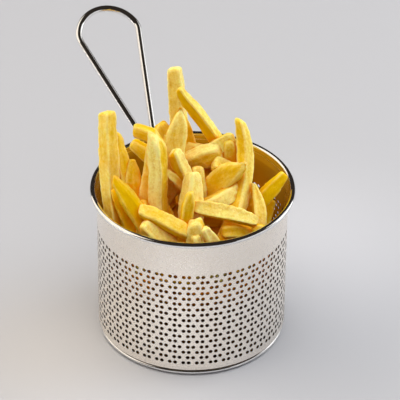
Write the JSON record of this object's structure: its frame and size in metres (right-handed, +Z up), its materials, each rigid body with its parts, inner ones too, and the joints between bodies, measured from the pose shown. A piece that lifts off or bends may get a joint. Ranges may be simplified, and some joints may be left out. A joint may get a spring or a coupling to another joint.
{
  "type": "french fries portion",
  "caption": "Small round perforated steel serving basket with a rolled rim and a leaning wire loop handle, heaped with a loose portion of thin-cut french fries.",
  "frame": {"origin": "centre of the flat underside of the basket", "axes": "+Z up through the middle of the basket, +Y towards the side the handle leans to, +X to the right when the handle is at the back"},
  "size_m": [0.0936, 0.1528, 0.1219],
  "materials": {
    "satin_steel": "satin stainless steel sheet, finely brushed round the wall",
    "bright_steel": "polished stainless steel of the wire, the rolled rim and the pressed base",
    "fried_potato": "fried potato: pale yellow, thin crisp crust with a slight oily sheen"
  },
  "bodies": {
    "root": {"basket_wall": "satin_steel", "basket_base": "bright_steel", "handle_wire": "bright_steel", "fries": "fried_potato"}
  },
  "joints": []
}
